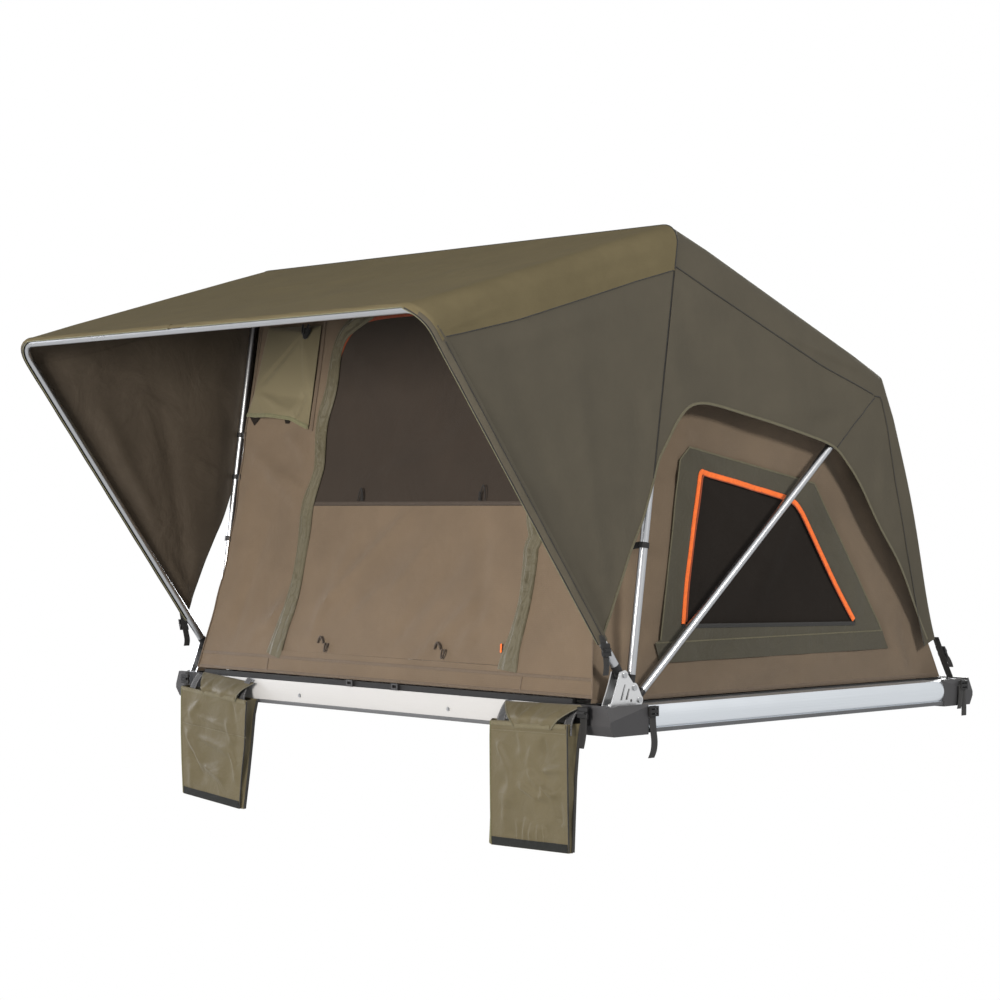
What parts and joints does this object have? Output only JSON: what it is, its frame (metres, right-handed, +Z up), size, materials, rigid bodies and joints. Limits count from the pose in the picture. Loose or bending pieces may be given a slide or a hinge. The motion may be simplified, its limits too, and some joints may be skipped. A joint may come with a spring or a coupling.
{
  "type": "roof top tent",
  "caption": "Roof top tent with fly and awning stretched over hinged hoops on a slim rail base, with mattress, mesh door, side windows and hanging shoe bags.",
  "frame": {"origin": "middle of the four roof bar bolts, on the underside of the mounting channels", "axes": "+X to the right seen from the door side, +Y from the door side to the rear, +Z up"},
  "size_m": [2.019, 2.2916, 1.7432],
  "materials": {
    "rail_aluminium": "anodised, satin",
    "front_rail_white": "powder coated, light silver",
    "hoop_aluminium": "bright anodised tube",
    "bracket_steel": "pressed plate, silver",
    "bolt_steel": "zinc plated",
    "black_plastic": "moulded, fine grain",
    "floor_composite": "composite sheet",
    "mattress_fabric": "knitted cover over foam",
    "canvas_brown": "ripstop polycotton canvas",
    "fly_olive": "coated polyester, awning panel",
    "fly_dark": "coated polyester, roof, rear and side panels",
    "trim_olive": "gathered olive canvas",
    "mesh_dark": "fine insect mesh",
    "bag_olive": "shiny coated nylon",
    "webbing_black": "woven webbing"
  },
  "bodies": {
    "base": {"base_panel": "floor_composite", "mattress": "mattress_fabric", "front_rail": "front_rail_white", "rear_rail": "rail_aluminium", "left_rail": "rail_aluminium", "right_rail": "rail_aluminium", "front_left_cap": "black_plastic", "front_right_cap": "black_plastic", "rear_left_cap": "black_plastic", "rear_right_cap": "black_plastic", "rail_screws": "bolt_steel", "mount_channels": "rail_aluminium", "left_hinge_bracket": "bracket_steel", "right_hinge_bracket": "bracket_steel", "bracket_screws": "bolt_steel", "awning_pivot_bolts": "bolt_steel", "ridge_pivot_bolts": "bolt_steel", "rear_pivot_bolts": "bolt_steel", "cover_clips": "black_plastic", "hem_track": "black_plastic", "cover_straps": "webbing_black", "strap_buckles": "black_plastic", "fly_straps": "webbing_black", "front_wall": "canvas_brown", "rear_wall": "canvas_brown", "left_wall": "canvas_brown", "right_wall": "canvas_brown", "ceiling": "canvas_brown", "door_panel": "canvas_brown", "door_mesh": "mesh_dark", "door_strips": "trim_olive", "vent_hood": "trim_olive", "window_frames": "trim_olive", "window_meshes": "mesh_dark", "fly_roof": "fly_dark", "fly_rear": "fly_dark", "left_fly_side": "fly_dark", "right_fly_side": "fly_dark"},
    "ridge_hoop": {"ridge_bar": "hoop_aluminium", "ridge_corners": "hoop_aluminium", "ridge_legs": "hoop_aluminium", "ridge_knuckles": "black_plastic", "ridge_clips": "black_plastic"},
    "awning_hoop": {"awning_bar": "hoop_aluminium", "awning_corners": "hoop_aluminium", "awning_legs": "hoop_aluminium", "awning_knuckles": "black_plastic", "awning_canopy": "fly_olive", "left_awning_side": "fly_dark", "right_awning_side": "fly_dark"},
    "rear_hoop": {"rear_bar": "hoop_aluminium", "rear_corners": "hoop_aluminium", "rear_legs": "hoop_aluminium", "rear_knuckles": "black_plastic"},
    "left_shoe_bag": {"left_bag_pouch": "bag_olive", "left_bag_flap": "bag_olive", "left_bag_loops": "webbing_black"},
    "right_shoe_bag": {"right_bag_pouch": "bag_olive", "right_bag_flap": "bag_olive", "right_bag_loops": "webbing_black"}
  },
  "joints": [
    {"name": "ridge_fold", "type": "hinge", "parent": "base", "child": "ridge_hoop", "pos_m": [0, -0.696, 0.147], "axis": [-1, 0, 0], "range_deg": [0, 81], "deforming": ["front_wall", "rear_wall", "left_wall", "right_wall", "ceiling", "door_panel", "door_mesh", "door_strips", "vent_hood", "window_frames", "window_meshes", "fly_roof", "fly_rear", "left_fly_side", "right_fly_side", "fly_straps"]},
    {"name": "awning_fold", "type": "hinge", "parent": "base", "child": "awning_hoop", "pos_m": [0, -0.735, 0.183], "axis": [-1, 0, 0], "range_deg": [0, 125], "deforming": ["awning_canopy", "left_awning_side", "right_awning_side"]},
    {"name": "rear_fold", "type": "hinge", "parent": "base", "child": "rear_hoop", "pos_m": [0, -0.676, 0.113], "axis": [-1, 0, 0], "range_deg": [0, 39.2]},
    {"name": "left_bag_swing", "type": "hinge", "parent": "base", "child": "left_shoe_bag", "pos_m": [0, -0.83, 0.101], "axis": [-1, 0, 0], "range_deg": [0, 70]},
    {"name": "right_bag_swing", "type": "hinge", "parent": "base", "child": "right_shoe_bag", "pos_m": [0, -0.83, 0.101], "axis": [-1, 0, 0], "range_deg": [0, 70]}
  ],
  "couplings": [
    {"joint": "awning_fold", "follows": "ridge_fold", "ratio": 1.5426},
    {"joint": "rear_fold", "follows": "ridge_fold", "ratio": 0.4829}
  ]
}
